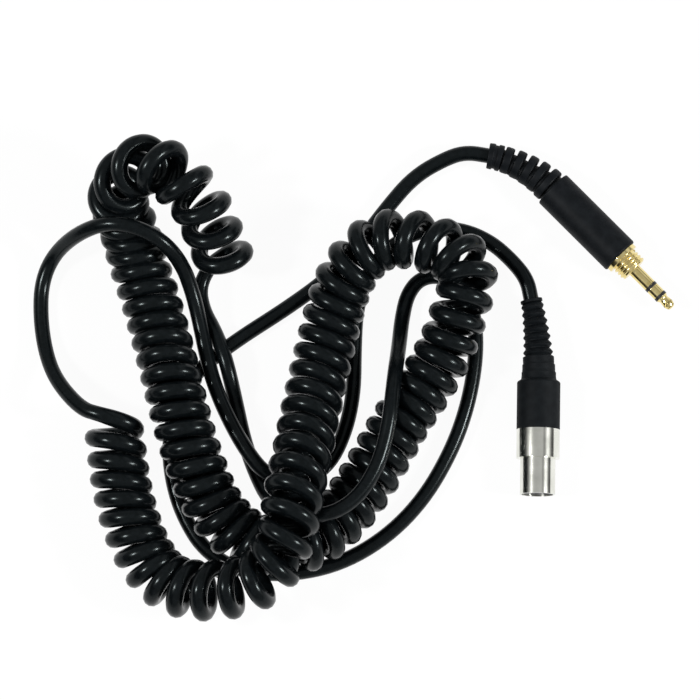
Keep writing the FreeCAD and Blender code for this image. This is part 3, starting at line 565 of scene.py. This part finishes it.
def make_socket_boot():
    """Rubber boot: plain body, banded neck and sharp ribs down to the cord."""
    root = SOCKET_RELIEF["back"] / MM
    length = SOCKET_RELIEF["length"] / MM
    end = root - length
    skin = swung("boot_skin", [
        (BOOT_FRONT, TAIL_BORE, 0), (BOOT_FRONT, BODY_RADIUS, 0.15), (BOOT_BACK, BODY_RADIUS, 0.35),
        (root - STEP_SLOPE, NECK_RADIUS, 0.25), (root - BANDS_LENGTH, WAIST_RADIUS - BAND_DEPTH, 0.1),
        (root - BANDS_LENGTH - STEP_SLOPE, WAIST_RADIUS - RIB_DEPTH, 0.05),
        (end + RELIEF_COLLAR, END_RADIUS - RIB_DEPTH, 0.05), (end + RELIEF_COLLAR, END_RADIUS, 0.12),
        (end, END_RADIUS, 0.12), (end, CORD_BORE, 0), (BORE_FRONT, CORD_BORE, 0),
        (HOLLOW_BACK, HOLLOW_RADIUS, 0), (HOLLOW_FRONT, HOLLOW_RADIUS, 0), (HOLLOW_FRONT, TAIL_BORE, 0),
    ], socket_axis, relief=SOCKET_RELIEF)
    bands = ribs("boot_bands", BAND, socket_axis, SOCKET_RELIEF, "boot_rubber", BANDS,
                 reach=(BANDS_START, BANDS_LENGTH), radii=(NECK_RADIUS, WAIST_RADIUS))
    sharp = ribs("boot_ribs", SHARP_RIB, socket_axis, SOCKET_RELIEF, "boot_rubber", SHARP_RIBS,
                 reach=(BANDS_LENGTH, length - RELIEF_COLLAR), radii=(WAIST_RADIUS, END_RADIUS))
    dressed("boot", [skin, bands, sharp], "boot_rubber", node="socket_boot")


# Barrel, in mm along the plug's axis

BARREL_RADIUS = 5.2
BARREL_FRONT = -5.2
BARREL_TAIL_BORE = 3.45
BARREL_HOLLOW_FRONT = -9.0
BARREL_HOLLOW_BACK = -26.0
BARREL_BORE_FRONT = -27.0
BEADS = 5
BEADS_START = 0.25
BEAD_FIRST = 4.75
BEAD_LAST = 3.45
BEAD_DEPTH = 0.95
CUFF_LENGTH = 3.7
CUFF_RADIUS = 3.5
CUFF_END_RADIUS = 3.4
CUFF_GROOVE = 0.35
GROOVE_FRONT = 1.2
GROOVE_BACK = 2.3
GROOVE_SLOPE = 0.2
BEAD = [
    (-1.2, 0.74, 0), (-1.15, 0.93, 0.15), (-0.85, 1.0, 0.25),
    (0.85, 1.0, 0.25), (1.15, 0.93, 0.15), (1.2, 0.74, 0),
]


def make_barrel():
    """Moulded barrel with a beaded relief and a two-band cuff at the cord."""
    root = PLUG_RELIEF["back"] / MM
    length = PLUG_RELIEF["length"] / MM
    end = root - length
    cuff = end + CUFF_LENGTH
    groove = CUFF_RADIUS - CUFF_GROOVE
    skin = swung("barrel_skin", [
        (BARREL_FRONT, BARREL_TAIL_BORE, 0), (BARREL_FRONT, BARREL_RADIUS, 0.55), (root, BARREL_RADIUS, 0.5),
        (root, BEAD_FIRST - BEAD_DEPTH, 0.1), (cuff + STEP_SLOPE, BEAD_LAST - BEAD_DEPTH, 0.1),
        (cuff, CUFF_RADIUS, 0.25), (cuff - GROOVE_FRONT, CUFF_RADIUS, 0.2),
        (cuff - GROOVE_FRONT - GROOVE_SLOPE, groove, 0.1), (cuff - GROOVE_BACK + GROOVE_SLOPE, groove, 0.1),
        (cuff - GROOVE_BACK, CUFF_RADIUS, 0.2), (end, CUFF_END_RADIUS, 0.3),
        (end, CORD_BORE, 0), (BARREL_BORE_FRONT, CORD_BORE, 0), (BARREL_HOLLOW_BACK, HOLLOW_RADIUS, 0),
        (BARREL_HOLLOW_FRONT, HOLLOW_RADIUS, 0), (BARREL_HOLLOW_FRONT, BARREL_TAIL_BORE, 0),
    ], plug_axis, relief=PLUG_RELIEF)
    beads = ribs("barrel_beads", BEAD, plug_axis, PLUG_RELIEF, "barrel_plastic", BEADS,
                 reach=(BEADS_START, length - CUFF_LENGTH), radii=(BEAD_FIRST, BEAD_LAST))
    dressed("barrel", [skin, beads], "barrel_plastic", node="plug_barrel")


# Plug contacts, in mm along the plug's axis. A tube is (inner radius, outer radius)

SHAFT_RADIUS = 1.75
TIP_END = 14.1
TIP_BACK = 10.2
RING_FRONT = 9.35
RING_BACK = 6.7
SLEEVE_FRONT = 5.85
BULGE_FRONT = 13.1
BULGE_BACK = 12.1
NECK_AT = 10.95
NOSE_RADIUS = 0.85
BULGE_RADIUS = 1.42
TIP_NECK_RADIUS = 1.22
TIP_RIM = 0.12
RIM_RADIUS = 1.65
ROD_RADIUS = 0.5
ROD_BACK = -11.7
FRONT_TUBE = (0.53, 0.77)
FRONT_TUBE_BACK = -11.1
RING_TUBE = (0.8, 1.04)
RING_TUBE_BACK = -9.9
REAR_TUBE = (1.07, 1.31)
SLEEVE_BORE = 1.34
TAIL_RADIUS = 3.4
TAIL_BACK = -9.0
THREAD_BACK = -4.0
FLANGE_RADIUS = 4.65
THREAD_FRONT_CORE = 3.55
THREAD_CORE = 3.45
THREAD_RADIUS = 3.9
THREAD_RIDGE = 0.34
THREAD_TURNS = 3.0
THREAD_LENGTH = 3.1
THREAD_END = -3.65
RUBBER_PROUD = 0.03


def insulation(name, front, back, tube, tube_back, node):
    """A black ring between two contacts, with the tube that runs back from it."""
    proud = SHAFT_RADIUS + RUBBER_PROUD
    body = swung(name, [
        (front, tube[0], 0), (front, proud, 0.05), (back, proud, 0.05),
        (back, tube[1], 0), (tube_back, tube[1], 0), (tube_back, tube[0], 0),
    ], plug_axis)
    dressed(name, [body], "plug_insulation", node=node)


def make_plug_contacts():
    """Gold sleeve with its threaded collar, ring and tip, with black rings between them."""
    sleeve = swung("sleeve_body", [
        (SLEEVE_FRONT, SLEEVE_BORE, 0), (SLEEVE_FRONT, SHAFT_RADIUS, 0.05), (0.0, SHAFT_RADIUS, 0.1),
        (0.0, THREAD_FRONT_CORE, 0.3), (THREAD_BACK, THREAD_CORE, 0.05), (THREAD_BACK, FLANGE_RADIUS, 0.15),
        (BARREL_FRONT, FLANGE_RADIUS, 0.15), (BARREL_FRONT, TAIL_RADIUS, 0), (TAIL_BACK, TAIL_RADIUS, 0),
        (TAIL_BACK, SLEEVE_BORE, 0),
    ], plug_axis)
    thread = grown("thread", bpy.data.meshes.new("thread_seed"), THREAD, {
        "Turns": THREAD_TURNS, "Radius": (THREAD_RADIUS - THREAD_RIDGE) * MM, "Length": THREAD_LENGTH * MM,
        "Front": THREAD_END * MM, "Ridge": THREAD_RIDGE * MM, "Material": MATERIALS["gold"],
    }, plug_axis)
    dressed("sleeve", [sleeve, thread], "gold", node="plug_sleeve")
    ring = swung("ring_body", [
        (RING_FRONT, RING_TUBE[0], 0), (RING_FRONT, SHAFT_RADIUS, 0.06), (RING_BACK, SHAFT_RADIUS, 0.06),
        (RING_BACK, RING_TUBE[1], 0), (RING_TUBE_BACK, RING_TUBE[1], 0), (RING_TUBE_BACK, RING_TUBE[0], 0),
    ], plug_axis)
    dressed("ring", [ring], "gold", node="plug_ring")
    tip = swung("tip_body", [
        (TIP_END, 0, 0), (TIP_END, NOSE_RADIUS, 0.5), (BULGE_FRONT, BULGE_RADIUS, 0.6),
        (BULGE_BACK, BULGE_RADIUS, 0.5), (NECK_AT, TIP_NECK_RADIUS, 0.3),
        (TIP_BACK + TIP_RIM, RIM_RADIUS, 0.1), (TIP_BACK, SHAFT_RADIUS, 0.04),
        (TIP_BACK, ROD_RADIUS, 0), (ROD_BACK, ROD_RADIUS, 0), (ROD_BACK, 0, 0),
    ], plug_axis, hollow=False)
    dressed("tip", [tip], "gold", node="plug_tip")
    insulation("tip_insulation", TIP_BACK, RING_FRONT, FRONT_TUBE, FRONT_TUBE_BACK, "plug_tip_insulator")
    insulation("ring_insulation", RING_BACK, SLEEVE_FRONT, REAR_TUBE, TAIL_BACK, "plug_ring_insulator")


# Latch

LATCH_EDGE = 0.08 * MM
LATCH_EDGE_STEPS = 2
FLAT_JOINT = math.radians(1)
SHARP_EDGE = math.radians(40)
LOOSE_POINTS = 1e-6


def softened(name, node, edge, slot, body):
    """A copy of a node's solid with its sharp edges eased."""
    form = bmesh.new()
    form.from_mesh(frame["nodes"][node].data)
    bmesh.ops.remove_doubles(form, verts=form.verts, dist=LOOSE_POINTS)
    bmesh.ops.dissolve_limit(form, angle_limit=FLAT_JOINT, verts=form.verts, edges=form.edges)
    mesh = bpy.data.meshes.new(name)
    form.to_mesh(mesh)
    form.free()
    mesh.shade_smooth()
    holder = bpy.data.objects.new(name, mesh)
    bpy.context.scene.collection.objects.link(holder)
    bevel = holder.modifiers.new("eased_edges", "BEVEL")
    bevel.width = edge
    bevel.segments = LATCH_EDGE_STEPS
    bevel.limit_method = "ANGLE"
    bevel.angle_limit = SHARP_EDGE
    bevel.harden_normals = True
    bpy.context.view_layer.update()
    made = bpy.data.meshes.new_from_object(holder.evaluated_get(bpy.context.evaluated_depsgraph_get()))
    holder.modifiers.clear()
    bpy.data.objects.remove(holder)
    made.materials.clear()
    made.materials.append(MATERIALS[slot])
    piece = bpy.data.objects.new(name, made)
    bpy.context.scene.collection.objects.link(piece)
    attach(piece, body)
    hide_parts(node)


make_socket_boot()
make_barrel()
make_plug_contacts()
softened("latch_spring", "latch", LATCH_EDGE, "nickel_latch", "latch")


# Cord

ROUTE_STEPS = 24
CORD_STEPS = 6
CORD_ROUNDNESS = 4


def nurbs(name, points):
    """A smooth curve with control points in metres."""
    curve = bpy.data.curves.new(name, "CURVE")
    curve.dimensions = "3D"
    spline = curve.splines.new("NURBS")
    spline.points.add(len(points) - 1)
    for place, point in zip(spline.points, points):
        place.co = (*point, 1)
    spline.order_u = 3
    spline.use_endpoint_u = True
    return curve


def route_line(name, points):
    """The points of the smooth curve that a route's control points give."""
    curve = nurbs(name, points)
    curve.resolution_u = ROUTE_STEPS
    holder = bpy.data.objects.new(name, curve)
    line = bpy.data.meshes.new_from_object(holder)
    found = [v.co.copy() for v in line.vertices]
    bpy.data.objects.remove(holder)
    bpy.data.meshes.remove(line)
    bpy.data.curves.remove(curve)
    return found


def along(line, share):
    """The point at a share of a line's points."""
    at = max(0.0, min(1.0, share)) * (len(line) - 1)
    low = min(int(at), len(line) - 2)
    return line[low].lerp(line[low + 1], at - low)


def set_at(turn):
    """Swing and lean of the curl at a turn, in radians."""
    for low, high in zip(CURL_SET, CURL_SET[1:]):
        if turn <= high[0]:
            share = (turn - low[0]) / (high[0] - low[0])
            return [math.radians(a + (b - a) * share) for a, b in zip(low[1:], high[1:])]
    return [math.radians(a) for a in CURL_SET[-1][1:]]


def curl_points():
    """Control points of the curls: a left-handed helix about their route."""
    line = route_line("curl_route", CURL_ROUTE)
    reach = CURL_REACH / (len(CURL_ROUTE) - 2)
    wide = CURL_RADIUS / math.cos(math.pi / CURL_POINTS)
    made = []
    for k in range(int(CURL_TURNS * CURL_POINTS) + 1):
        turn = k / CURL_POINTS
        share = turn / CURL_TURNS
        centre = along(line, share)
        ahead = (along(line, share + reach) - along(line, share - reach)).normalized()
        side = ahead.cross(UP).normalized()
        top = side.cross(ahead)
        swing, lean = set_at(turn)
        facing = ahead * math.cos(swing) + side * math.sin(swing)
        side = side * math.cos(swing) - ahead * math.sin(swing)
        top = top * math.cos(lean) - facing * math.sin(lean)
        angle = 2 * math.pi * turn
        made.append(centre + top * (wide * math.cos(angle)) - side * (wide * math.sin(angle)))
    return made


def past_relief(axis, relief, reach):
    """A point of a relief's axis, at a distance past its end face."""
    face = axis @ bent(Vector((0, 0, relief["back"] - relief["length"])), relief)
    out = axis.to_3x3() @ Vector((-math.sin(relief["bend"]), 0, -math.cos(relief["bend"])))
    return face + reach * out.normalized()


EXIT_RUN = 5.5 * MM
CORD_IN_RELIEF = 1.5 * MM
BEFORE_CURLS = 3.5 * MM
AFTER_CURLS = 4 * MM


def make_cord():
    """One unbroken cord: lead, curls and lead."""
    curls = curl_points()
    entry = (curls[0] - curls[1]).normalized()
    leave = (curls[-1] - curls[-2]).normalized()
    points = [past_relief(socket_axis, SOCKET_RELIEF, reach) for reach in (-CORD_IN_RELIEF, 0, EXIT_RUN)]
    points += [Vector(p) for p in SOCKET_LEAD]
    points.append(curls[0] + entry * BEFORE_CURLS)
    first_curl = len(points)
    points += curls
    last_curl = len(points)
    points.append(curls[-1] + leave * AFTER_CURLS)
    points += [Vector(p) for p in PLUG_LEAD]
    points += [past_relief(plug_axis, PLUG_RELIEF, reach) for reach in (EXIT_RUN, 0, -CORD_IN_RELIEF)]
    curve = nurbs("cord", points)
    for place in curve.splines[0].points[first_curl:last_curl]:
        place.radius = CURL_THICKNESS / CORD_DIAMETER
    curve.resolution_u = CORD_STEPS
    curve.bevel_depth = CORD_DIAMETER / 2
    curve.bevel_resolution = CORD_ROUNDNESS
    curve.use_fill_caps = True
    curve.materials.append(MATERIALS["cord_jacket"])
    cord = bpy.data.objects.new("cord", curve)
    bpy.context.scene.collection.objects.link(cord)
    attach(cord, "cord")
    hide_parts("curly_cord", "socket_lead", "plug_lead")


make_cord()


# Stage, light and camera

PHOTO_PIXELS = 700
PIXELS_PER_MM = 3.8
LOOK_AT = Vector((-61.1, -7.9, 5.5)) * MM
CAMERA_TILT = math.radians(8.5)
CAMERA_DISTANCE = 1.3
SENSOR_WIDTH = 36.0
NEAREST_SEEN = 0.05
FURTHEST_SEEN = 20
LIGHT_DISTANCE = 1.2
FLOOR_HALF = 3.0
FLOOR_GLOW = 0.95
PAPER = (0.86, 0.86, 0.86, 1)
ROOM_LEFT_TO_RIGHT = (0.91, 0.41, 0)
ROOM_STRENGTH = 0.9
WHITE = (1, 1, 1, 1)

# Brightness of the room from left to right: (place, level)
ROOM_LEVELS = [
    (0.0, 0.02), (0.1, 0.02), (0.15, 0.45), (0.5, 0.5), (0.71, 0.55), (0.75, 0.25), (0.8, 0.3),
    (0.84, 0.8), (0.91, 0.8), (0.96, 0.06), (1.0, 0.06),
]


def make_floor():
    """Pale paper that the camera sees as nearly white, with the object's shadow."""
    made = bpy.data.materials.new("floor_white")
    made.use_nodes = True
    tree = made.node_tree
    tree.nodes.clear()
    out = tree.nodes.new("ShaderNodeOutputMaterial")
    paper = tree.nodes.new("ShaderNodeBsdfDiffuse")
    white = tree.nodes.new("ShaderNodeEmission")
    mix = tree.nodes.new("ShaderNodeMixShader")
    path = tree.nodes.new("ShaderNodeLightPath")
    seen = tree.nodes.new("ShaderNodeMath")
    share = tree.nodes.new("ShaderNodeMath")
    paper.inputs["Color"].default_value = PAPER
    white.inputs["Strength"].default_value = 1.0
    seen.operation = "MAXIMUM"
    share.operation = "MULTIPLY"
    share.inputs[1].default_value = FLOOR_GLOW
    tree.links.new(path.outputs["Is Camera Ray"], seen.inputs[0])
    tree.links.new(path.outputs["Is Glossy Ray"], seen.inputs[1])
    tree.links.new(seen.outputs["Value"], share.inputs[0])
    tree.links.new(share.outputs["Value"], mix.inputs["Fac"])
    tree.links.new(paper.outputs["BSDF"], mix.inputs[1])
    tree.links.new(white.outputs["Emission"], mix.inputs[2])
    tree.links.new(mix.outputs["Shader"], out.inputs["Surface"])
    mesh = bpy.data.meshes.new("floor")
    half = FLOOR_HALF
    corners = [(-half, -half, 0), (half, -half, 0), (half, half, 0), (-half, half, 0)]
    mesh.from_pydata(corners, [], [(0, 1, 2, 3)])
    mesh.materials.append(made)
    floor = bpy.data.objects.new("floor", mesh)
    bpy.context.scene.collection.objects.link(floor)


def make_world():
    """A pale room with dark bands at its left and right ends, that the camera sees as white."""
    world = bpy.data.worlds.new("room")
    world.use_nodes = True
    tree = world.node_tree
    back = tree.nodes["Background"]
    where = tree.nodes.new("ShaderNodeTexCoord")
    side = tree.nodes.new("ShaderNodeVectorMath")
    side.operation = "DOT_PRODUCT"
    side.inputs[1].default_value = ROOM_LEFT_TO_RIGHT
    span = tree.nodes.new("ShaderNodeMapRange")
    ramp = tree.nodes.new("ShaderNodeValToRGB")
    span.inputs["From Min"].default_value = -1.0
    tree.links.new(where.outputs["Generated"], side.inputs[0])
    tree.links.new(side.outputs["Value"], span.inputs["Value"])
    tree.links.new(span.outputs["Result"], ramp.inputs["Fac"])
    tree.links.new(ramp.outputs["Color"], back.inputs["Color"])
    while len(ramp.color_ramp.elements) < len(ROOM_LEVELS):
        ramp.color_ramp.elements.new(0.5)
    for element, (place, level) in zip(ramp.color_ramp.elements, ROOM_LEVELS):
        element.position = place
        element.color = (level, level, level, 1)
    back.inputs["Strength"].default_value = ROOM_STRENGTH
    white = tree.nodes.new("ShaderNodeBackground")
    white.inputs["Color"].default_value = WHITE
    white.inputs["Strength"].default_value = 1.0
    path = tree.nodes.new("ShaderNodeLightPath")
    mix = tree.nodes.new("ShaderNodeMixShader")
    tree.links.new(path.outputs["Is Camera Ray"], mix.inputs["Fac"])
    tree.links.new(back.outputs["Background"], mix.inputs[1])
    tree.links.new(white.outputs["Background"], mix.inputs[2])
    tree.links.new(mix.outputs["Shader"], tree.nodes["World Output"].inputs["Surface"])
    bpy.context.scene.world = world


def soft_light(name, azimuth, off_vertical, size, power):
    """A square soft light that faces the middle of the object. Its angles are in degrees."""
    lamp = bpy.data.lights.new(name, "AREA")
    lamp.shape = "SQUARE"
    lamp.size = size
    lamp.energy = power
    holder = bpy.data.objects.new(name, lamp)
    a, o = math.radians(azimuth), math.radians(off_vertical)
    away = Vector((math.sin(a) * math.sin(o), math.cos(a) * math.sin(o), math.cos(o)))
    holder.location = LOOK_AT + away * LIGHT_DISTANCE
    holder.rotation_mode = "QUATERNION"
    holder.rotation_quaternion = away.to_track_quat("Z", "Y")
    bpy.context.scene.collection.objects.link(holder)


def make_camera():
    """The photograph's camera: almost straight above, with its lower edge towards -Y."""
    lens = bpy.data.cameras.new("camera")
    lens.sensor_width = SENSOR_WIDTH
    field = PHOTO_PIXELS / PIXELS_PER_MM * MM
    lens.lens = SENSOR_WIDTH * CAMERA_DISTANCE / field
    lens.clip_start = NEAREST_SEEN
    lens.clip_end = FURTHEST_SEEN
    camera = bpy.data.objects.new("camera", lens)
    back = Vector((0, -math.sin(CAMERA_TILT), math.cos(CAMERA_TILT)))
    camera.location = LOOK_AT + back * CAMERA_DISTANCE
    camera.rotation_mode = "QUATERNION"
    camera.rotation_quaternion = (-back).to_track_quat("-Z", "Y")
    bpy.context.scene.collection.objects.link(camera)
    bpy.context.scene.camera = camera


make_floor()
make_world()
soft_light("left_light", -97, 41, size=0.14, power=10)
soft_light("right_light", 100, 54, size=0.2, power=12)
make_camera()
bpy.context.scene.view_settings.view_transform = "Standard"
